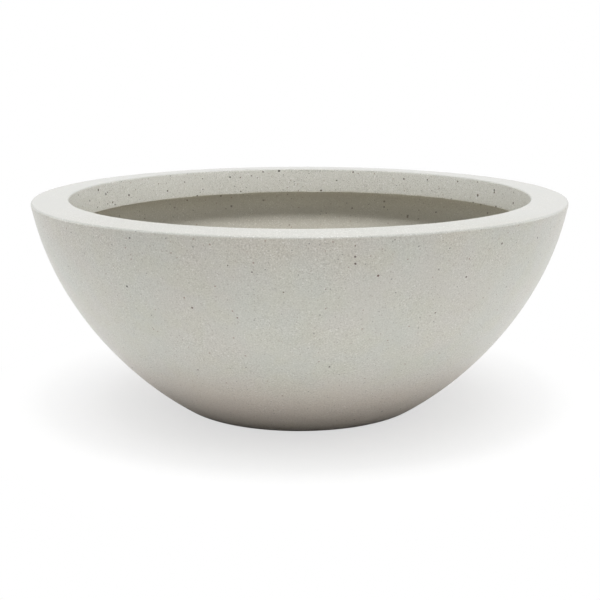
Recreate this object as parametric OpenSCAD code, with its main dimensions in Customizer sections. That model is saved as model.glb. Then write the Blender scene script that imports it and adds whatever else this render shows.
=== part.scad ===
// Low round planter bowl of moulded fibre clay.
// The bowl is one curved shell whose broad flat rim turns down inside as a collar. A rubber
// stopper closes the drain hole in its floor, and rubber pads under the base lift it off the ground.
// Sizes are in millimetres. The pads stand on the plane z = 0, and the z axis is the bowl's centre line.

/* [Bowl] */
// Diameter across the outer edge of the rim, before that edge is softened
rim_d = 500; // [460:5:560]
// Height of the bowl by itself, from its underside to the inner edge of the rim
bowl_h = 198.5; // [180:0.5:220]
// Diameter of the base where the outer wall meets the underside, before that edge is softened
base_d = 232; // [200:2:260]
// Radius of the arc that the outer wall follows from base to rim
wall_curve_r = 304; // [280:2:360]
// Thickness of the wall, square to its surface
wall_t = 10; // [8:0.5:15]
// Thickness of the floor
floor_t = 13; // [11:0.5:20]

/* [Rim] */
// Width of the rim's flat top, from its outer edge to its inner edge
rim_w = 35; // [28:1:50]
// How much lower the rim's outer edge lies than its inner edge
rim_fall = 1.3; // [0.5:0.1:4]
// Height of the collar, the upright face inside the rim
collar_h = 25.5; // [18:0.5:40]

/* [Edges] */
// Radius of the rim's outer edge
rim_outer_edge_r = 2; // [1:0.5:4]
// Radius of the rim's inner edge
rim_inner_edge_r = 1.5; // [1:0.5:4]
// Radius of the collar's lower edge
collar_edge_r = 0.8; // [0.4:0.2:2]
// Radius of the hollow corner between the collar's underside and the inner wall
collar_root_r = 5; // [3:0.5:7]
// Radius of the edge between the outer wall and the underside
base_edge_r = 6; // [3:0.5:12]
// Radius of the hollow corner between the inner wall and the floor
floor_corner_r = 25; // [12:1:40]

/* [Drain hole and stopper] */
// Diameter of the drain hole
drain_d = 25; // [20:1:32]
// Chamfer round the drain hole where it leaves the underside
drain_chamfer = 1.5; // [0.5:0.5:3]
// Gap all round between the stopper and the drain hole
stopper_gap = 0.05; // [0.02:0.01:0.09]
// How far the stopper's flange reaches past the edge of the drain hole
flange_reach = 7; // [4:0.5:12]
// Thickness of the flange, which lies on the floor of the bowl
flange_t = 3; // [2:0.5:5]
// Height between the foot of the stopper and the underside of the bowl
stopper_lift = 2; // [1:0.5:4]
// Thickness of the rubber round the hollow in the foot of the stopper
stopper_skin = 4.5; // [3:0.5:6]
// Diameter of the knob that the stopper is pulled by
knob_d = 13; // [10:1:18]
// Height of that knob above the flange
knob_h = 7; // [5:0.5:12]
// Radius of the stopper's softened edges
stopper_edge_r = 1.2; // [0.4:0.2:1.4]

/* [Foot pads] */
// Number of pads, evenly spaced round the base
pad_count = 4; // [3:1:6]
// Diameter of a pad
pad_d = 22; // [16:1:30]
// Thickness of a pad
pad_t = 3.5; // [2.5:0.5:6]
// How far a pad stands out below the underside of the bowl
pad_proud = 1.5; // [1:0.5:2]
// Distance from the edge of the base to the centre of a pad
pad_inset = 24; // [20:1:34]
// Gap all round between a pad and the recess it is bonded into
pad_gap = 0.3; // [0.1:0.1:1]
// Radius of the edge of a pad's tread
pad_edge_r = 0.8; // [0.4:0.2:1.2]

/* [Hidden] */
$fn = 160;

// How far a cut runs past the face that it opens
past = 5;

clay_colour = "#c3c2b9";
rubber_colour = "#2b2b2a";
pad_colour = "#3a3936";

// The bowl's section is drawn as points of radius and height, with height 0 at the underside
rim_r = rim_d / 2;
base_r = base_d / 2;
mouth_r = rim_r - rim_w;
drain_r = drain_d / 2;
pad_ring_r = base_r - pad_inset;
rim_outer_h = bowl_h - rim_fall;
collar_low_h = bowl_h - collar_h;

// Centre of the arc of the outer wall, which runs through the base's edge and the rim's outer edge
chord = [rim_r - base_r, rim_outer_h];
chord_way = chord / norm(chord);
arc_offset = sqrt(pow(wall_curve_r, 2) - pow(norm(chord) / 2, 2));
arc_c = [base_r, 0] + chord / 2 + arc_offset * [-chord_way[1], chord_way[0]];
inner_curve_r = wall_curve_r - wall_t;

// The rim's top runs down from its inner edge to its outer edge
rim_way = [rim_w, -rim_fall] / norm([rim_w, rim_fall]);
rim_normal = [-rim_way[1], rim_way[0]];
out = [1, 0];
up = [0, 1];

// Where the line from p along the unit vector way last meets the circle of radius r about c
function meeting(p, way, c, r) =
    let (d = p - c, along = d * way)
    p + way * (sqrt(along * along - d * d + r * r) - along);

// The unit vector from point a towards point b
function toward(a, b) = (b - a) / norm(b - a);

// What lies outside an edge's rounding of radius r about k, between the faces with normals n and m
module edge_waste(k, n, m, r) {
    difference() {
        polygon([k, k + 3 * r * n, k + 3 * r * (n + m), k + 3 * r * m]);
        translate(k) circle(r);
    }
}

// The same for an edge where a straight face with normal n, through p, meets the arc of radius r_arc
module arc_edge_waste(p, way, n, r_arc, r) {
    k = meeting(p - r * n, way, arc_c, r_arc - r);
    edge_waste(k, n, toward(arc_c, k), r);
}

// The outside of the bowl: the wall's arc, closed by the underside and the rim's top
module outer_section() {
    difference() {
        intersection() {
            translate(arc_c) circle(wall_curve_r);
            polygon([[0, 0], [rim_r + past, 0], [mouth_r, bowl_h] + (rim_w + past) * rim_way,
                     [mouth_r, bowl_h], [0, bowl_h]]);
        }
        arc_edge_waste([0, 0], out, -up, wall_curve_r, base_edge_r);
        arc_edge_waste([mouth_r, bowl_h], rim_way, rim_normal, wall_curve_r, rim_outer_edge_r);
    }
}

// The planting space below the collar: the inner wall's arc between the floor and the collar
module hollow_section() {
    difference() {
        intersection() {
            translate(arc_c) circle(inner_curve_r);
            translate([0, floor_t]) square([rim_r, collar_low_h - floor_t]);
        }
        arc_edge_waste([0, floor_t], out, -up, inner_curve_r, floor_corner_r);
        arc_edge_waste([0, collar_low_h], out, up, inner_curve_r, collar_root_r);
    }
}

// The mouth inside the collar, with the two edges of the collar softened
module mouth_section() {
    rim_edge = [mouth_r, bowl_h] + rim_inner_edge_r * (out - up / rim_way[0] + up * rim_way[1] / rim_way[0]);
    translate([0, collar_low_h - past]) square([mouth_r, collar_h + 2 * past]);
    edge_waste(rim_edge, rim_normal, -out, rim_inner_edge_r);
    edge_waste([mouth_r, collar_low_h] + collar_edge_r * (out + up), -up, -out, collar_edge_r);
}

// The drain hole through the floor, wider where it leaves the underside
module drain_section() {
    translate([0, -past]) square([drain_r, floor_t + 2 * past]);
    polygon([[0, -past], [drain_r + drain_chamfer + past, -past],
             [drain_r, drain_chamfer], [0, drain_chamfer]]);
}

// Lifts what follows from the ground to the height of the bowl's underside
module above_pads() {
    translate([0, 0, pad_proud]) children();
}

// Places what follows at the centre of pad i
module at_pad(i) {
    turn = 360 * (i - 0.5) / pad_count;
    translate(pad_ring_r * [cos(turn), sin(turn), 0]) children();
}

module bowl() {
    color(clay_colour)
    difference() {
        above_pads() rotate_extrude() difference() {
            outer_section();
            hollow_section();
            mouth_section();
            drain_section();
        }
        for (i = [1 : pad_count])
            at_pad(i) cylinder(r = pad_d / 2 + pad_gap, h = pad_t);
    }
}

// The stopper's section has height 0 at the underside of the bowl
module drain_stopper() {
    body_r = drain_r - stopper_gap;
    flange_r = drain_r + flange_reach;
    flange_h = floor_t + flange_t;
    knob_top_h = flange_h + knob_h;
    hollow_r = body_r - stopper_skin;
    color(rubber_colour)
    above_pads() rotate_extrude() difference() {
        union() {
            translate([0, stopper_lift]) square([body_r, flange_h - stopper_lift]);
            translate([0, floor_t]) square([flange_r, flange_t]);
            translate([0, floor_t]) square([knob_d / 2, flange_t + knob_h]);
        }
        translate([0, stopper_lift - past]) square([hollow_r, floor_t - stopper_lift - stopper_skin + past]);
        edge_waste([body_r, stopper_lift] + stopper_edge_r * (up - out), -up, out, stopper_edge_r);
        edge_waste([flange_r, flange_h] - stopper_edge_r * (up + out), up, out, stopper_edge_r);
        edge_waste([knob_d / 2, knob_top_h] - stopper_edge_r * (up + out), up, out, stopper_edge_r);
    }
}

module foot_pad(i) {
    color(pad_colour)
    at_pad(i) rotate_extrude() difference() {
        square([pad_d / 2, pad_t]);
        edge_waste([pad_d / 2, 0] + pad_edge_r * (up - out), -up, out, pad_edge_r);
    }
}

bowl();
drain_stopper();
for (i = [1 : pad_count])
    foot_pad(i);
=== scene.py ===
"""A low round planter bowl of pale speckled fibre clay, with its rubber stopper and foot pads.

Lengths are in metres. A section is a run of (radius, height) points, and the heights of the bowl's
and the stopper's sections start at the bowl's underside. The materials work in millimetres.
"""

import math
from types import SimpleNamespace

import bpy
import numpy as np
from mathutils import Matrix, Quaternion, Vector, noise


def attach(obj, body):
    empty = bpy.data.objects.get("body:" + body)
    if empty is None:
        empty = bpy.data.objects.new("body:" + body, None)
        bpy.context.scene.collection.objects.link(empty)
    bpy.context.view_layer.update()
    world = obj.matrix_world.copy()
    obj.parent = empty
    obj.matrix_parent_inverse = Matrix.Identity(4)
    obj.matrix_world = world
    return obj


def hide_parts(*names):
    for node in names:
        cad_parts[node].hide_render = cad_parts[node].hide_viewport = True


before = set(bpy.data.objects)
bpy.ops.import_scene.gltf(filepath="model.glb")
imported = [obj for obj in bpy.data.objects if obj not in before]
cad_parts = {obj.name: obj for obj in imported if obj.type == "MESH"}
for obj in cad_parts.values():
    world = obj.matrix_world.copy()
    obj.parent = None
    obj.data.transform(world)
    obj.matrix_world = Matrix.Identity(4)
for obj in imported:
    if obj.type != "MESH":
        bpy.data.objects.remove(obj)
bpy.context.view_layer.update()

MM = 0.001

# The bowl, as it is cast
RIM_R = 250 * MM
BOWL_H = 198.5 * MM
BASE_R = 116 * MM
WALL_CURVE_R = 304 * MM
WALL_T = 10 * MM
FLOOR_T = 13 * MM
RIM_W = 35 * MM
RIM_FALL = 1.3 * MM
COLLAR_H = 25.5 * MM

# The collar leans back a little, as it must to leave its mould: how far its ends are from MOUTH_R,
# how far it bulges between them, how far its edge hangs below COLLAR_LOW_H, and how much lower
# still that edge runs on the left and how much higher on the right
COLLAR_TOP_OUT = 0.5 * MM
COLLAR_LOW_IN = 0.8 * MM
COLLAR_BULGE = 0.36 * MM
COLLAR_LOWER = 1.05 * MM
COLLAR_TIP = 1.5 * MM

# How far the outer wall swells out of its arc and in again, and how much less the rim's top falls
# at the front
WALL_SWELL = 0.45 * MM
FRONT_LIFT = 0.44 * MM

# Radii of the bowl's edges and hollow corners
RIM_OUTER_EDGE_R = 2 * MM
RIM_INNER_EDGE_R = 1.9 * MM
COLLAR_EDGE_R = 0.8 * MM
COLLAR_ROOT_R = 5 * MM
BASE_EDGE_R = 6 * MM
FLOOR_CORNER_R = 25 * MM

# The drain hole, with the flat seat of the stopper's flange around it
DRAIN_R = 12.5 * MM
DRAIN_CHAMFER = 1.5 * MM
DRAIN_EDGE = 0.4 * MM
SEAT_MARGIN = 3 * MM

# The stopper, with the ribs round its body, the rings pressed into its flange and the knob's waist
STOPPER_R = 12.45 * MM
STOPPER_LIFT = 2 * MM
STOPPER_SKIN = 4.5 * MM
STOPPER_EDGE_R = 1.2 * MM
HOLLOW_CORNER_R = 1 * MM
FLANGE_R = 19.5 * MM
FLANGE_T = 3 * MM
KNOB_R = 6.5 * MM
KNOB_H = 7 * MM
KNOB_WAIST = 1.4 * MM
RIB_COUNT, RIB_DEPTH = 3, 0.35 * MM
RING_PLACES, RING_WIDTH, RING_DEPTH = (0.42, 0.66), 0.05, 0.3 * MM

# The foot pads, with the ringed grooves of their treads
PAD_COUNT = 4
PAD_R = 11 * MM
PAD_T = 3.5 * MM
PAD_PROUD = 1.5 * MM
PAD_RING_R = BASE_R - 24 * MM
PAD_GAP = 0.3 * MM
PAD_EDGE_R = 0.8 * MM
TREAD_RINGS, TREAD_DEPTH = 3, 0.45 * MM

# Worked out from the sizes above
MOUTH_R = RIM_R - RIM_W
RIM_OUTER_H = BOWL_H - RIM_FALL
COLLAR_LOW_H = BOWL_H - COLLAR_H
INNER_CURVE_R = WALL_CURVE_R - WALL_T

# How many steps each kind of piece is turned in
BOWL_TURNS = 352
STOPPER_TURNS = 144
PAD_TURNS = 96

# How many points the stopper's and the pads' shaped faces have
RIB_POINTS = 37
FLANGE_POINTS = 61
KNOB_POINTS = 21
TREAD_POINTS = 73

OUT = np.array([1.0, 0.0])
UP = np.array([0.0, 1.0])


def at(radius, height):
    """A point of a section."""
    return np.array([radius, height])


def unit(way):
    """The unit vector along way."""
    return way / np.linalg.norm(way)


def arc_centre():
    """Centre of the outer wall's arc, which runs from the base's edge to the rim's outer edge."""
    chord = at(RIM_R - BASE_R, RIM_OUTER_H)
    way = unit(chord)
    offset = math.sqrt(WALL_CURVE_R**2 - (np.linalg.norm(chord) / 2) ** 2)
    return at(BASE_R, 0) + chord / 2 + offset * at(-way[1], way[0])


ARC_C = arc_centre()
RIM_WAY = unit(at(RIM_W, -RIM_FALL))
RIM_NORMAL = at(-RIM_WAY[1], RIM_WAY[0])


def meeting(start, way, centre, radius):
    """Where the line from start along way last meets a circle."""
    offset = start - centre
    along = offset @ way
    return start + way * (math.sqrt(along**2 - offset @ offset + radius**2) - along)


# Sections

# A face's first and last steps are this short, so that smooth shading stays off the flat
SUPPORT = 0.5 * MM

# Points nearer than this are one point
SAME_POINT = 1e-6


def supported(length, count):
    """Shares of a length from 0 to 1: even steps between a short first and a short last one."""
    between = np.linspace(SUPPORT / length, 1 - SUPPORT / length, count)
    return np.concatenate([[0.0], between, [1.0]])


def straight(start, end, spacing):
    """Points along a line."""
    length = np.linalg.norm(end - start)
    count = max(2, round((length - 2 * SUPPORT) / spacing) + 1)
    return start + supported(length, count)[:, None] * (end - start)


def arc(centre, radius, first_way, last_way, spacing, short_ends=False):
    """Points on an arc about centre, turning the shorter way from one unit vector to the other."""
    first = math.atan2(first_way[1], first_way[0])
    cross = first_way[0] * last_way[1] - first_way[1] * last_way[0]
    turn = math.atan2(cross, first_way @ last_way)
    length = abs(turn) * radius
    count = max(4, round(length / spacing))
    part = supported(length, count) if short_ends else np.linspace(0, 1, count + 1)
    angle = first + turn * part
    return centre + radius * np.stack([np.cos(angle), np.sin(angle)], axis=1)


def outer_wall(first_way, last_way):
    """The outer wall: close to its arc, a little fuller above the middle and leaner below it."""
    points = arc(ARC_C, WALL_CURVE_R, first_way, last_way, 3.2 * MM, short_ends=True)
    part = math.pi * points[:, 1] / RIM_OUTER_H
    lean = 1.2
    bend = WALL_SWELL * (np.sin(part) - lean * np.sin(2 * part))
    return points + bend[:, None] * (points - ARC_C) / WALL_CURVE_R


def collar_face(top, low):
    """The collar, which bulges a little between its two edges."""
    points = straight(top, low, 2.4 * MM)
    part = (top[1] - points[:, 1]) / (top[1] - low[1])
    return points - (4 * COLLAR_BULGE * part * (1 - part))[:, None] * OUT


def outline(*stretches):
    """Joins stretches of (points, (depth, reach)), the latter saying how uneven each one is."""
    rows = []
    for points, evenness in stretches:
        for point in points:
            if not rows or np.hypot(*(point - rows[-1][:2])) > SAME_POINT:
                rows.append([*point, *evenness])
    return np.array(rows)


# How deep and how wide the casting's unevenness is on each face
SANDED = (0.10 * MM, 45 * MM)
RIM_TOP = (0.05 * MM, 30 * MM)
RIM_EDGE = (0.14 * MM, 14 * MM)
COLLAR_FACE = (0.22 * MM, 26 * MM)
COLLAR_LIP = (0.60 * MM, 13 * MM)
RAW_INSIDE = (0.45 * MM, 30 * MM)
RAW_UNDERSIDE = (0.12 * MM, 25 * MM)
EXACT = (0.0, 10 * MM)


def exact_outline(*stretches):
    """Joins stretches of a moulded or cut piece, which has no unevenness."""
    return outline(*((points, EXACT) for points in stretches))


def bowl_outline():
    """The bowl's section, from the foot of the drain hole out, over the rim and back down."""
    # The centres of its edges and corners
    base_k = meeting(BASE_EDGE_R * UP, OUT, ARC_C, WALL_CURVE_R - BASE_EDGE_R)
    rim_k = meeting(at(MOUTH_R, BOWL_H) - RIM_OUTER_EDGE_R * RIM_NORMAL, RIM_WAY, ARC_C,
                    WALL_CURVE_R - RIM_OUTER_EDGE_R)
    mouth_drop = RIM_INNER_EDGE_R * (1 / RIM_WAY[0] - RIM_WAY[1] / RIM_WAY[0])
    mouth_k = at(MOUTH_R + COLLAR_TOP_OUT + RIM_INNER_EDGE_R, BOWL_H - mouth_drop)
    lip_k = at(MOUTH_R - COLLAR_LOW_IN + COLLAR_EDGE_R,
               COLLAR_LOW_H - COLLAR_LOWER + COLLAR_EDGE_R)
    root_k = meeting((COLLAR_LOW_H - COLLAR_ROOT_R) * UP, OUT, ARC_C,
                     INNER_CURVE_R - COLLAR_ROOT_R)
    floor_k = meeting((FLOOR_T + FLOOR_CORNER_R) * UP, OUT, ARC_C,
                      INNER_CURVE_R - FLOOR_CORNER_R)

    # The ways in which the wall leaves and meets them
    base_way, rim_way = unit(base_k - ARC_C), unit(rim_k - ARC_C)
    root_way, floor_way = unit(root_k - ARC_C), unit(floor_k - ARC_C)

    # The ends of the flat faces
    drain_foot = at(DRAIN_R, DRAIN_CHAMFER)
    drain_mouth = at(DRAIN_R + DRAIN_CHAMFER, 0)
    drain_top = at(DRAIN_R, FLOOR_T - DRAIN_EDGE)
    rim_first = rim_k + RIM_OUTER_EDGE_R * RIM_NORMAL
    rim_last = mouth_k + RIM_INNER_EDGE_R * RIM_NORMAL
    collar_top = mouth_k - RIM_INNER_EDGE_R * OUT
    collar_low = lip_k - COLLAR_EDGE_R * OUT
    lip_low = lip_k - COLLAR_EDGE_R * UP
    root_top = root_k + COLLAR_ROOT_R * UP
    seat = at(FLANGE_R + SEAT_MARGIN, FLOOR_T)
    edge_step = 0.35 * MM
    return outline(
        (straight(drain_foot, drain_mouth, 1 * MM), EXACT),
        (straight(drain_mouth, at(base_k[0], 0), 6 * MM), RAW_UNDERSIDE),
        (arc(base_k, BASE_EDGE_R, -UP, base_way, 0.6 * MM), RAW_UNDERSIDE),
        (outer_wall(base_way, rim_way), SANDED),
        (arc(rim_k, RIM_OUTER_EDGE_R, rim_way, RIM_NORMAL, edge_step), RIM_EDGE),
        (straight(rim_first, rim_last, 3 * MM), RIM_TOP),
        (arc(mouth_k, RIM_INNER_EDGE_R, RIM_NORMAL, -OUT, edge_step), RIM_EDGE),
        (collar_face(collar_top, collar_low), COLLAR_FACE),
        (arc(lip_k, COLLAR_EDGE_R, -OUT, -UP, 0.3 * MM), COLLAR_LIP),
        (straight(lip_low, root_top, 2 * MM), COLLAR_LIP),
        (arc(root_k, COLLAR_ROOT_R, UP, root_way, 1.2 * MM), RAW_INSIDE),
        (arc(ARC_C, INNER_CURVE_R, root_way, floor_way, 3.6 * MM), RAW_INSIDE),
        (arc(floor_k, FLOOR_CORNER_R, floor_way, -UP, 2.4 * MM), RAW_INSIDE),
        (straight(at(floor_k[0], FLOOR_T), seat, 5 * MM), RAW_INSIDE),
        (straight(seat, at(DRAIN_R + DRAIN_EDGE, FLOOR_T), 2 * MM), EXACT),
        (straight(at(DRAIN_R + DRAIN_EDGE, FLOOR_T), drain_top, 1 * MM), EXACT),
        (straight(drain_top, drain_foot, 3 * MM), EXACT),
    )


def stopper_outline():
    """The stopper's section, from the roof of the hollow in its foot to the middle of its knob."""
    hollow_r, hollow_h = STOPPER_R - STOPPER_SKIN, FLOOR_T - STOPPER_SKIN
    flange_h = FLOOR_T + FLANGE_T
    knob_top_h = flange_h + KNOB_H
    corner = HOLLOW_CORNER_R
    hollow_k = at(hollow_r - corner, hollow_h - corner)
    foot_k = at(STOPPER_R - STOPPER_EDGE_R, STOPPER_LIFT + STOPPER_EDGE_R)
    flange_k = at(FLANGE_R, flange_h) - STOPPER_EDGE_R * (OUT + UP)
    knob_k = at(KNOB_R, knob_top_h) - STOPPER_EDGE_R * (OUT + UP)

    part = np.linspace(0, 1, RIB_POINTS)
    rib_h = foot_k[1] + part * (FLOOR_T - foot_k[1])
    rib_r = STOPPER_R - RIB_DEPTH * np.sin(math.pi * RIB_COUNT * part) ** 2

    part = np.linspace(0, 1, FLANGE_POINTS)
    top_r = FLANGE_R - STOPPER_EDGE_R + part * (KNOB_R - FLANGE_R + STOPPER_EDGE_R)
    top_h = flange_h - sum(RING_DEPTH * np.exp(-(((part - ring) / RING_WIDTH) ** 2))
                           for ring in RING_PLACES)

    part = np.linspace(0, 1, KNOB_POINTS)
    knob_h = flange_h + part * (KNOB_H - STOPPER_EDGE_R)
    knob_r = KNOB_R - KNOB_WAIST * np.sin(math.pi * part) ** 2

    edge_step = 0.3 * MM
    return exact_outline(
        straight(at(0, hollow_h), at(hollow_r - corner, hollow_h), 2 * MM),
        arc(hollow_k, corner, UP, OUT, edge_step),
        straight(at(hollow_r, hollow_h - corner), at(hollow_r, STOPPER_LIFT), 2 * MM),
        straight(at(hollow_r, STOPPER_LIFT), foot_k - STOPPER_EDGE_R * UP, 1 * MM),
        arc(foot_k, STOPPER_EDGE_R, -UP, OUT, edge_step),
        np.stack([rib_r, rib_h], axis=1),
        straight(at(STOPPER_R, FLOOR_T), at(FLANGE_R, FLOOR_T), 2 * MM),
        straight(at(FLANGE_R, FLOOR_T), at(FLANGE_R, flange_h - STOPPER_EDGE_R), 1 * MM),
        arc(flange_k, STOPPER_EDGE_R, OUT, UP, edge_step),
        np.stack([top_r, top_h], axis=1),
        np.stack([knob_r, knob_h], axis=1),
        arc(knob_k, STOPPER_EDGE_R, OUT, UP, edge_step),
        straight(at(KNOB_R - STOPPER_EDGE_R, knob_top_h), at(0, knob_top_h), 1.5 * MM),
    )


def pad_outline():
    """A foot pad's section, from the middle of its ringed tread to that of its bonded face."""
    part = np.linspace(0, 1, TREAD_POINTS)
    tread_r = part * (PAD_R - PAD_EDGE_R)
    rings = np.sin(math.pi * TREAD_RINGS * part) ** 2
    # The rings between the grooves are flat, because the pad stands on them
    tread_h = TREAD_DEPTH * np.clip(1.6 * rings - 0.6, 0, 1)
    return exact_outline(
        np.stack([tread_r, tread_h], axis=1),
        arc(at(PAD_R - PAD_EDGE_R, PAD_EDGE_R), PAD_EDGE_R, -UP, OUT, 0.2 * MM),
        straight(at(PAD_R, PAD_EDGE_R), at(PAD_R, PAD_T), 1 * MM),
        straight(at(PAD_R, PAD_T), at(0, PAD_T), 2 * MM),
    )


def recess_outline():
    """The cutter for a foot pad's recess, which starts well below the bowl's underside."""
    radius, below = PAD_R + PAD_GAP, -5 * MM
    return exact_outline(
        straight(at(0, below), at(radius, below), 4 * MM),
        straight(at(radius, below), at(radius, PAD_T), 4 * MM),
        straight(at(radius, PAD_T), at(0, PAD_T), 4 * MM),
    )


# Turned meshes

# A point nearer to the axis than this is on it, and a face less uneven than this is even
ON_AXIS = 1e-9
EVEN = 1e-7

# How many points of an outline one face's unevenness takes to pass into the next one's
BLEND = 5

# Edges sharper than this, in degrees, aren't shaded smooth
SHARP_FROM = 40


def unevenness(place, reach):
    """A smooth random height from 0 to 1, with hollows about as wide as reach."""
    narrow_reach, apart = reach * 0.37, Vector((7.3, 1.9, 4.1))
    broad = noise.noise(place / reach)
    narrow = noise.noise(place / narrow_reach + apart)
    return min(1.0, max(0.0, 0.5 + 0.45 * broad + 0.3 * narrow))


def outward_ways(points, solid_core):
    """The unit vector square to an outline at each of its points."""
    ahead, behind = np.roll(points, -1, axis=0), np.roll(points, 1, axis=0)
    if solid_core:
        ahead[-1], behind[0] = points[-1], points[0]
    along = (ahead - behind) / np.linalg.norm(ahead - behind, axis=1)[:, None]
    return np.stack([along[:, 1], -along[:, 0]], axis=1)


def turned_faces(on_axis, turns, rings):
    """The faces between neighbouring rings of points, where a ring on the axis is one point."""
    starts = np.cumsum([0] + [1 if alone else turns for alone in on_axis])
    faces = []
    for ring in range(rings):
        above = (ring + 1) % len(on_axis)
        here, there = starts[ring], starts[above]
        for turn in range(turns):
            after = (turn + 1) % turns
            if on_axis[ring]:
                faces.append((here, there + after, there + turn))
            elif on_axis[above]:
                faces.append((here + turn, here + after, there))
            else:
                faces.append((here + turn, here + after, there + after, there + turn))
    return faces


def turned(name, rows, turns, centre=(0, 0, 0)):
    """A closed solid turned from an outline, which meets the axis at both ends or else closes."""
    solid_core = rows[0][0] < ON_AXIS
    if not solid_core and np.hypot(*(rows[0] - rows[-1])[:2]) < SAME_POINT:
        rows = rows[:-1]
    normals = outward_ways(rows[:, :2], solid_core)
    padded = np.pad(rows[:, 2], BLEND // 2, mode="edge")
    depths = np.convolve(padded, np.ones(BLEND) / BLEND, mode="valid")

    angles = np.linspace(0, 2 * math.pi, turns, endpoint=False)
    on_axis = [row[0] <= ON_AXIS for row in rows]
    places = []
    for (radius, height, _, reach), (out, up), depth, alone in zip(
            rows.tolist(), normals.tolist(), depths.tolist(), on_axis):
        for angle in angles[:1] if alone else angles:
            c, s = math.cos(angle), math.sin(angle)
            place = Vector((radius * c, radius * s, height))
            if depth > EVEN:
                place -= depth * unevenness(place, reach) * Vector((out * c, out * s, up))
            places.append(place + Vector(centre))

    mesh = bpy.data.meshes.new(name)
    rings = len(rows) - 1 if solid_core else len(rows)
    mesh.from_pydata(places, [], turned_faces(on_axis, turns, rings))
    mesh.update()
    piece = bpy.data.objects.new(name, mesh)
    bpy.context.scene.collection.objects.link(piece)
    return piece


def tip_collar_edge(bowl):
    """Lets the collar's lower edge run a little lower on the left than on the right."""
    fade_h, underside_w = 8 * MM, 22 * MM
    for point in bowl.data.vertices:
        x, y, z = point.co
        height, radius = z - PAD_PROUD, math.hypot(x, y)
        near = 1 - abs(height - COLLAR_LOW_H) / fade_h
        if near > 0 and radius < MOUTH_R + underside_w:
            point.co.z += COLLAR_TIP * near * x / radius


def lift_front_edge(bowl):
    """Lets the rim's top fall less towards its outer edge at the front, and the wall follow it."""
    fade_h, inside_h = 60 * MM, 20 * MM
    for point in bowl.data.vertices:
        x, y, z = point.co
        height, radius = z - PAD_PROUD, math.hypot(x, y)
        near = 1 - (RIM_OUTER_H - height) / fade_h
        outward = (radius - MOUTH_R) / RIM_W
        above_inside = height > COLLAR_LOW_H + (1 - outward) * inside_h
        if y < 0 and near > 0 and outward > 0 and above_inside:
            point.co.z += FRONT_LIFT * (y / radius) ** 4 * min(1, near) ** 2 * min(1, outward)


def smooth(piece):
    """Shades a piece smooth, apart from its sharp edges."""
    mesh = piece.data
    mesh.polygons.foreach_set("use_smooth", [True] * len(mesh.polygons))
    mesh.set_sharp_from_angle(angle=math.radians(SHARP_FROM))
    return piece


def pad_places():
    """The centres of the foot pads."""
    for index in range(PAD_COUNT):
        turn = 2 * math.pi * (index + 0.5) / PAD_COUNT
        yield PAD_RING_R * math.cos(turn), PAD_RING_R * math.sin(turn)


def cut_pad_recesses(bowl):
    """Cuts the shallow recesses that the foot pads are bonded into."""
    recess = recess_outline()
    cutters = [turned(f"recess_{number}", recess, PAD_TURNS, (x, y, 0))
               for number, (x, y) in enumerate(pad_places())]
    for cutter in cutters:
        cut = bowl.modifiers.new(cutter.name, "BOOLEAN")
        cut.operation = "DIFFERENCE"
        cut.solver = "EXACT"
        cut.object = cutter
    graph = bpy.context.evaluated_depsgraph_get()
    whole = bowl.data
    bowl.data = bpy.data.meshes.new_from_object(bowl.evaluated_get(graph))
    bowl.data.name = bowl.name
    bowl.modifiers.clear()
    bpy.data.meshes.remove(whole)
    for cutter in cutters:
        bpy.data.meshes.remove(cutter.data)


# Shader sums


def colour(code):
    """A linear colour from its usual six-figure code, by the sRGB curve."""
    shares = [int(code[i : i + 2], 16) / 255 for i in (1, 3, 5)]
    return (*(s / 12.92 if s <= 0.04045 else ((s + 0.055) / 1.055) ** 2.4 for s in shares), 1.0)


class Wire:
    """A shader socket that takes part in sums: each operation adds its Math node."""

    def __init__(self, finish, socket):
        self.finish = finish
        self.socket = socket

    def sum(self, operation, *values):
        """Adds the Math node of one operation."""
        return self.finish.node("ShaderNodeMath", {"operation": operation}, dict(enumerate(values)))

    def beside(self, output):
        """Another output of the same node."""
        return Wire(self.finish, self.socket.node.outputs[output])

    def __add__(self, other):
        return self.sum("ADD", self, other)

    def __sub__(self, other):
        return self.sum("SUBTRACT", self, other)

    def __rsub__(self, other):
        return self.sum("SUBTRACT", other, self)

    def __mul__(self, other):
        return self.sum("MULTIPLY", self, other)

    def __pow__(self, other):
        return self.sum("POWER", self, other)

    def __lt__(self, other):
        return self.sum("LESS_THAN", self, other)

    __radd__ = __add__
    __rmul__ = __mul__


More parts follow.
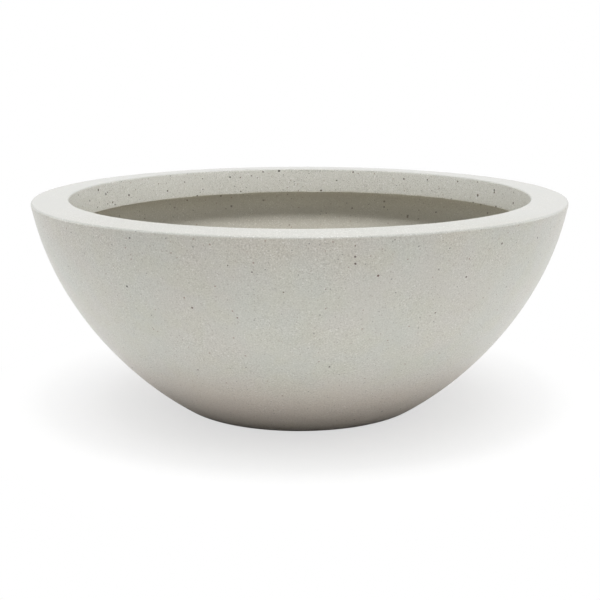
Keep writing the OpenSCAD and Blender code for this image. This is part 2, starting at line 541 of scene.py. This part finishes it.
class Finish:
    """The node tree of a material or a world under way, with the helpers that add to it."""

    def __init__(self, owner):
        owner.use_nodes = True
        self.owner = owner
        self.tree = owner.node_tree
        self.tree.nodes.clear()

    def node(self, kind, settings, sockets, output=0):
        """Adds one node: its settings first, then the values or wires of its sockets."""
        made = self.tree.nodes.new(kind)
        for name, value in settings.items():
            setattr(made, name, value)
        for name, value in sockets.items():
            if isinstance(value, Wire):
                self.tree.links.new(value.socket, made.inputs[name])
            else:
                made.inputs[name].default_value = value
        return Wire(self, made.outputs[output]) if made.outputs else None

    def place(self):
        """Where a point of the surface is, in millimetres."""
        spot = self.node("ShaderNodeTexCoord", {}, {}, "Object")
        return self.node("ShaderNodeVectorMath", {"operation": "SCALE"}, {0: spot, "Scale": 1 / MM})

    def parts(self, vector):
        """The three parts of a vector."""
        split = self.node("ShaderNodeSeparateXYZ", {}, {0: vector})
        return split, split.beside(1), split.beside(2)

    def stretch(self, vector, amounts):
        """A vector with each of its parts multiplied."""
        return self.node("ShaderNodeVectorMath", {"operation": "MULTIPLY"}, {0: vector, 1: amounts})

    def shift(self, vector, other):
        """A vector moved by another, which also sets one pattern apart from the next."""
        return self.node("ShaderNodeVectorMath", {"operation": "ADD"}, {0: vector, 1: other})

    def clouds(self, place, width, detail=2.0, rough=0.5):
        """Soft noise from 0 to 1 whose blobs are about width across."""
        return self.node("ShaderNodeTexNoise", {}, {"Vector": place, "Scale": 1 / width,
                                                    "Detail": detail, "Roughness": rough})

    def between(self, value, low, high):
        """0 where value is at low, 1 where it is at high, with a soft step between them."""
        return self.node("ShaderNodeMapRange", {"interpolation_type": "SMOOTHSTEP"},
                         {"Value": value, "From Min": low, "From Max": high})

    def tint(self, share, first, second):
        """Mixes two colours, each a wire, a code or linear values."""
        first, second = (colour(c) if isinstance(c, str) else c for c in (first, second))
        return self.node("ShaderNodeMix", {"data_type": "RGBA"}, {0: share, 6: first, 7: second}, 2)

    def layers(self, body, *coats):
        """Lays coats of (share, colour) over a body's colour, one after another."""
        for share, tone in coats:
            body = self.tint(share, body, tone)
        return body

    def grains(self, place, spacing, share, radius, soft=0.2):
        """Grains cut through by the surface: where they show, and a number for each one."""
        cell = self.node("ShaderNodeTexVoronoi", {}, {"Vector": place, "Scale": 1 / spacing},
                         "Distance")
        pick = self.node("ShaderNodeSeparateColor", {}, {0: cell.beside("Color")})
        size, shade = pick.beside(1), pick.beside(2)
        # The smallest grain has 0.55 of the radius and the largest 1.2 of it
        edge = radius * (0.55 + size * 0.65)
        near = 1 - self.between(cell * spacing, edge - soft, edge + soft)
        return (pick < share) * near, shade

    def bump(self, height):
        """A surface whose height is given in millimetres."""
        return self.node("ShaderNodeBump", {}, {"Strength": 1.0, "Distance": MM, "Height": height})

    def unlit(self):
        """1 for what sees the backdrop directly: the camera, a reflection or clear glass."""
        seen = self.node("ShaderNodeLightPath", {}, {}, "Is Camera Ray")
        through = seen.beside("Is Transmission Ray")
        mirrored = seen.sum("MAXIMUM", seen.beside("Is Glossy Ray"), through)
        return seen.sum("MAXIMUM", seen, mirrored)

    def mixed(self, share, first, second, end):
        """Ends a material or a world in a mix of two shaders."""
        blend = self.node("ShaderNodeMixShader", {}, {0: share, 1: first, 2: second})
        self.node(end, {}, {"Surface": blend})
        return self.owner

    def surface(self, **sockets):
        """Ends the material in one Principled shader. A _ stands for a space in a socket's name."""
        sockets = {name.replace("_", " "): value for name, value in sockets.items()}
        shader = self.node("ShaderNodeBsdfPrincipled", {}, sockets)
        self.node("ShaderNodeOutputMaterial", {}, {"Surface": shader})
        return self.owner


# Materials


def clay_zones(f, place):
    """Where the bowl's finishes and its painted light and shade lie, as shares from 0 to 1, and the
    height itself.
    """
    x, y, z = f.parts(place)
    radius = (x * x + y * y) ** 0.5
    height = z - PAD_PROUD / MM
    collar_low = COLLAR_LOW_H / MM
    off_lip = height - collar_low

    # How deep a point lies in the wall, from its outer face, and how far below the rim's top
    away_r, away_h = radius - ARC_C[0] / MM, height - ARC_C[1] / MM
    depth = WALL_CURVE_R / MM - (away_r * away_r + away_h * away_h) ** 0.5
    fall = (BOWL_H / MM - height) - (radius - MOUTH_R / MM) * (RIM_FALL / RIM_W)

    # Each zone's limits, in millimetres, are where it starts and where it is there in full
    rim = 1 - f.between(fall, 0.5, 1.7)
    inside = f.between(depth, 3.0, 6.0) * f.between(height, 4.0, 9.0) * (1 - rim)
    collar = inside * f.between(height, collar_low - 2.2, collar_low - 0.8)
    # The rim is calm at its sides and back, where painted reflection lightens it, lip is the
    # collar's lower edge, raw is the inside below it, and high and foot are the outer wall's two
    # ends
    return SimpleNamespace(
        height=height,
        rim=rim,
        calm_sheen_rim=rim * f.between(y, -200.0, -110.0),
        inside=inside,
        collar=collar,
        raw=inside * (1 - collar),
        lip=inside * (1 - f.between(off_lip * off_lip, 0.4, 6.0)),
        high=f.between(height, 150.0, 196.0) * (1 - inside),
        foot=f.between(height, 84.0, 34.0) * (1 - inside),
    )


def clay_grains(f, place, zone):
    """The grains and pits that the clay's surface cuts through. Three kinds have their shades."""
    # The place is shaken a little, so that the grains' edges are torn
    shake = f.node("ShaderNodeTexNoise", {}, {"Vector": place, "Scale": 0.9}, "Color")
    torn = f.shift(place, f.stretch(shake, (0.9, 0.9, 0.9)))
    dark_share = 0.04 + zone.high * 0.03 + zone.collar * 0.22 + zone.raw * 0.14 + zone.lip * 0.2
    brown_share = 0.22 + zone.high * 0.2 + zone.inside * 0.12
    pit_share = 0.16 + zone.inside * 0.25 + zone.lip * 0.3
    dark = f.grains(torn, spacing=6.0, share=dark_share,
                    radius=0.85 + zone.inside * 0.3, soft=0.25)
    brown = f.grains(f.shift(torn, (31.0, 7.0, 13.0)), spacing=4.2, share=brown_share,
                     radius=0.62)
    grit = f.grains(f.shift(torn, (5.0, 43.0, 29.0)), spacing=2.3, share=0.55, radius=0.50)
    pale, _ = f.grains(f.shift(torn, (17.0, 3.0, 59.0)), spacing=2.4, share=0.45,
                       radius=0.60 + zone.collar * 0.05)
    pit, _ = f.grains(f.shift(torn, (71.0, 23.0, 2.0)), spacing=5.2, share=pit_share,
                      radius=0.42, soft=0.12)
    return dark, brown, grit, pale, pit


def fibre_clay():
    """Cast fibre clay: sanded and clean on the rim, speckled on collar and wall, raw inside, with
    painted light and shade.
    """
    f = Finish(bpy.data.materials.new("fibre_clay"))
    place = f.place()
    zone = clay_zones(f, place)
    height, rim, collar, raw = zone.height, zone.rim, zone.collar, zone.raw
    dark, brown, grit, pale, pit = clay_grains(f, place, zone)
    dark, dark_shade = dark
    brown, brown_shade = brown
    grit, grit_shade = grit

    # How the clay's tone changes from place to place, from the broadest patches to its sand
    patch = f.clouds(f.shift(place, (57.0, 11.0, 83.0)), width=48.0)
    patch = f.between(patch, 0.36, 0.64)
    drift = f.clouds(place, width=34.0, detail=3.0, rough=0.55)
    hue = f.clouds(f.shift(place, (91.0, 17.0, 5.0)), width=60.0, detail=3.0)
    warmth = f.clouds(f.shift(place, (3.0, 77.0, 41.0)), width=28.0)
    sand = f.clouds(place, width=1.15, rough=0.7)

    # How plainly the sand shows, and where the coarser grains show
    sandy = (0.75 + patch * 0.45 - rim * 0.25 - zone.calm_sheen_rim * 0.58 + zone.high * 0.28
             + collar * 0.3 - raw * 0.25)
    grained = 1 - rim * 0.93

    # The raw inside is painted palest in a band some way below the collar, as painted light where
    # the collar's shadow falls, and darker below that band
    raw_painted_body = f.tint(f.between(height, 146.0, 157.0), "#bdb9ae", "#c7c3b8")
    body = f.layers(
        f.tint(f.between(hue, 0.36, 0.64), "#d0d2ca", "#d3d1c9"),
        (f.between(warmth, 0.38, 0.62) * 0.3, "#d1d1be"),
        (f.between(drift, 0.3, 0.7) * 0.3, "#d8d8d2"),
        # The zones
        (zone.high * patch * 0.35, "#d6cfc3"),
        # The foot's warmer, lighter tint is painted warm light, bounced up from the floor
        (zone.foot * 0.7, "#e0d4c9"),
        # The collar is painted much lighter than the wall, as painted light on its face inside the
        # bowl
        (collar * 0.9, "#eeeee8"),
        # The raw inside is darker than the wall, partly as unsanded clay and partly as painted
        # shade, and painted shade darkens it further just under the collar
        (raw * 0.9, f.tint(f.between(height, 158.0, 171.0), raw_painted_body, "#bdb8ad")),
        # The rim's top is painted darker than the wall, as painted shade that tempers the lamp
        # above it, and its calm sides and back are painted lighter, as a painted reflection
        (rim * 0.9, f.tint(zone.calm_sheen_rim, "#b8b8b3", "#bebebb")),
        # Dark and light sand, and pale grains
        (f.between(sand, 0.52, 0.30) * 0.31 * sandy, "#a09e95"),
        (f.between(sand, 0.50, 0.70) * (0.30 + collar * 0.40) * sandy, "#f8f7f2"),
        (pale * (0.30 + collar * 0.6) * sandy, "#fefdfb"),
        # Coarser grains, from grey or rust to nearly black, and pits
        (grit * 0.40 * grained, f.tint(grit_shade, "#8f8b82", "#a08e82")),
        (brown * 0.62 * grained, f.tint(f.between(brown_shade, 0.45, 0.65), "#69655d", "#8a624a")),
        (dark * (0.93 - raw * 0.35) * grained, f.tint(dark_shade, "#37342f", "#664c3f")),
        # Pits are painted darker, as painted shade in their hollows
        (pit * 0.5 * grained, "#77746a"),
    )

    # The marks of pressing and sanding by hand, which are wider than they are high
    hand = f.clouds(f.stretch(place, (1.0, 1.0, 2.2)), width=15.0)
    lift = sand * (0.06 + raw * 0.16 + collar * 0.08) + hand * (0.10 + raw * 0.5)
    lift = (lift - pit * (0.22 + raw * 0.2) - dark * 0.04) * (1 - rim * 0.75)
    roughness = 0.33 + rim * 0.09 + raw * 0.46 + collar * 0.34
    return f.surface(Base_Color=body, Roughness=roughness, Normal=f.bump(lift))


def rubber(name, code, worn_code, grain):
    """Moulded rubber with a fine grain, which holds dust in smears and specks."""
    f = Finish(bpy.data.materials.new(name))
    place = f.place()
    fine = f.clouds(place, width=0.5)
    smear = f.clouds(f.shift(place, (9.0, 3.0, 1.0)), width=7.0, detail=3.0)
    dusty = f.between(smear, 0.42, 0.75) * 0.55 + f.between(fine, 0.55, 0.8) * 0.25
    speck, speck_shade = f.grains(place, spacing=2.6, share=0.3, radius=0.22, soft=0.06)
    body = f.layers(f.tint(dusty, code, worn_code),
                    (speck * (0.25 + speck_shade * 0.35), "#a8a49a"))
    return f.surface(Base_Color=body, Roughness=0.62 + dusty * 0.25,
                     Normal=f.bump(fine * grain + smear * 0.05))


# The studio

WHITE = (1.0, 1.0, 1.0, 1.0)
FLOOR_TONE = (0.855, 0.843, 0.83, 1.0)
# Painted shade: the floor under the bowl is dark
UNDER_BOWL_SHADE = (0.2, 0.197, 0.194, 1.0)
FLOOR_HALF = 8.0

# How much of what the camera sees of the floor beside the bowl is plain white, so that the shadow
# stays faint
SHADOW_VEIL = 0.66

# How strongly the world's white ceiling and the rest of it light the object
CEILING, FILL = 2.9, 0.02

# Each lamp's place, the point that it faces, its width and height, its power in watts and its tone
PLAIN_TONE = (1.0, 1.0, 1.0)
HIGH_TONE = (0.97, 0.985, 1.0)
LAMPS = {
    "overhead": ((0.05, -0.52, 2.93), (0, 0, 0.2), (0.55, 0.62), 50, PLAIN_TONE),
    "front": ((1.1, -2.35, 1.1), (0, 0, 0.1), (1.6, 0.8), 4.2, PLAIN_TONE),
    "front_right": ((1.3, -1.4, 2.4), (0, 0, 0.1), (1.2, 1.2), 5.6, PLAIN_TONE),
    "left_high": ((-1.93, 0, 2.3), (0, 0, 0.1), (1.8, 1.8), 5.2, HIGH_TONE),
    "right_high": ((1.93, 0, 2.3), (0, 0, 0.1), (1.8, 1.8), 2.2, HIGH_TONE),
    "left_low": ((-2.0, 0.5, 0.45), (0, 0, 0.12), (0.8, 0.8), 5.2, (0.92, 0.97, 1.0)),
    "right_low": ((2.0, 0.5, 0.45), (0, 0, 0.12), (0.8, 0.8), 4.8, (0.95, 0.98, 1.0)),
}


def floor_white():
    """A pale floor that shows white away from the object's own faint shadow."""
    f = Finish(bpy.data.materials.new("floor_white"))
    seen = f.unlit()
    watched = f.node("ShaderNodeLightPath", {}, {}, "Is Camera Ray")
    x, y, _ = f.parts(f.place())
    spread = (x * x + y * y) ** 0.5
    # The floor is painted dark under the bowl, as painted shade that keeps the bowl's foot dark,
    # and it turns white sooner for reflections than for the camera.
    # The limits are millimetres from the bowl's centre line.
    outside = f.between(spread, 60.0, 110.0)
    far, near = f.between(spread, 120.0, 330.0), f.between(spread, 118.0, 232.0)
    body = f.tint(f.between(spread, 114.0, 140.0), UNDER_BOWL_SHADE, FLOOR_TONE)
    lit = f.node("ShaderNodeBsdfDiffuse", {}, {"Color": f.tint(seen * outside, body, WHITE)})
    white = f.node("ShaderNodeEmission", {}, {"Color": WHITE, "Strength": 1.0})
    veil = SHADOW_VEIL + far * (1 - SHADOW_VEIL)
    share = watched * outside * veil + (seen - watched) * near
    return f.mixed(share, lit, white, "ShaderNodeOutputMaterial")


def studio_world():
    """Light from a white ceiling. The camera and reflections see plain white all round."""
    f = Finish(bpy.data.worlds.new("studio"))
    _, _, z = f.parts(f.node("ShaderNodeTexCoord", {}, {}, "Generated"))
    # The ceiling is what lies straight up or less than about 25 degrees away from there
    strength = f.between(z, 0.88, 0.93) * CEILING + FILL
    light = f.node("ShaderNodeBackground", {}, {"Color": WHITE, "Strength": strength})
    white = f.node("ShaderNodeBackground", {}, {"Color": WHITE, "Strength": 1.0})
    bpy.context.scene.world = f.mixed(f.unlit(), light, white, "ShaderNodeOutputWorld")


def softbox(name, place, aim, size, power, tone):
    """A rectangular lamp that faces a point."""
    lamp = bpy.data.lights.new(name, "AREA")
    lamp.shape = "RECTANGLE"
    lamp.size, lamp.size_y = size
    lamp.energy = power
    lamp.color = tone
    box = bpy.data.objects.new(name, lamp)
    box.location = place
    box.rotation_euler = (Vector(aim) - Vector(place)).to_track_quat("-Z", "Y").to_euler()
    box.visible_camera = False
    bpy.context.scene.collection.objects.link(box)


def studio_floor():
    """The floor that the bowl stands on, which isn't part of it."""
    half = FLOOR_HALF
    corners = [(-half, -half, 0), (half, -half, 0), (half, half, 0), (-half, half, 0)]
    mesh = bpy.data.meshes.new("floor")
    mesh.from_pydata(corners, [], [(0, 1, 2, 3)])
    floor = bpy.data.objects.new("floor", mesh)
    floor.data.materials.append(floor_white())
    bpy.context.scene.collection.objects.link(floor)


# The camera stands in front of the bowl and looks slightly down, as it did for the photograph.
# Its angles are in degrees, and its focal length and frame are in the photograph's pixels.
CAMERA_DISTANCE = 1.110
CAMERA_HEIGHT = 0.3400 + PAD_PROUD
CAMERA_PITCH = 12.484
CAMERA_YAW = -0.011
CAMERA_ROLL = -0.080
FOCAL_PX, FRAME_PX = 1172.9, 600
SENSOR_W = 36.0


def photograph_camera():
    """The camera, at the photograph's place and angle."""
    camera = bpy.data.cameras.new("camera")
    camera.sensor_width = SENSOR_W
    camera.lens = camera.sensor_width * FOCAL_PX / FRAME_PX
    view = bpy.data.objects.new("camera", camera)
    view.location = (0, -CAMERA_DISTANCE, CAMERA_HEIGHT)
    turn = Quaternion((0, 0, 1), math.radians(CAMERA_YAW))
    tilt = Quaternion((1, 0, 0), math.radians(90 - CAMERA_PITCH))
    roll = Quaternion((0, 0, 1), math.radians(CAMERA_ROLL))
    view.rotation_mode = "QUATERNION"
    view.rotation_quaternion = turn @ tilt @ roll
    bpy.context.scene.collection.objects.link(view)
    bpy.context.scene.camera = view


def build():
    """Makes every piece, gives it its finish and says what it rides on and stands for."""
    bowl = turned("bowl_shell", bowl_outline(), BOWL_TURNS, (0, 0, PAD_PROUD))
    tip_collar_edge(bowl)
    lift_front_edge(bowl)
    cut_pad_recesses(bowl)
    smooth(bowl).data.materials.append(fibre_clay())
    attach(bowl, "planter")
    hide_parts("bowl")

    stopper = turned("stopper_bung", stopper_outline(), STOPPER_TURNS, (0, 0, PAD_PROUD))
    smooth(stopper).data.materials.append(rubber("stopper_rubber", "#262626", "#55544f", 0.03))
    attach(stopper, "stopper")
    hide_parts("drain_stopper")

    pad_finish = rubber("pad_rubber", "#33322f", "#5d5b54", 0.05)
    for number, (x, y) in enumerate(pad_places(), start=1):
        pad = smooth(turned(f"pad_tread_{number}", pad_outline(), PAD_TURNS, (x, y, 0)))
        pad.data.materials.append(pad_finish)
        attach(pad, "planter")
        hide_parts(f"foot_pad_{number}")


build()
photograph_camera()
studio_floor()
studio_world()
for lamp_name, lamp_settings in LAMPS.items():
    softbox(lamp_name, *lamp_settings)
bpy.context.scene.view_settings.view_transform = "Standard"
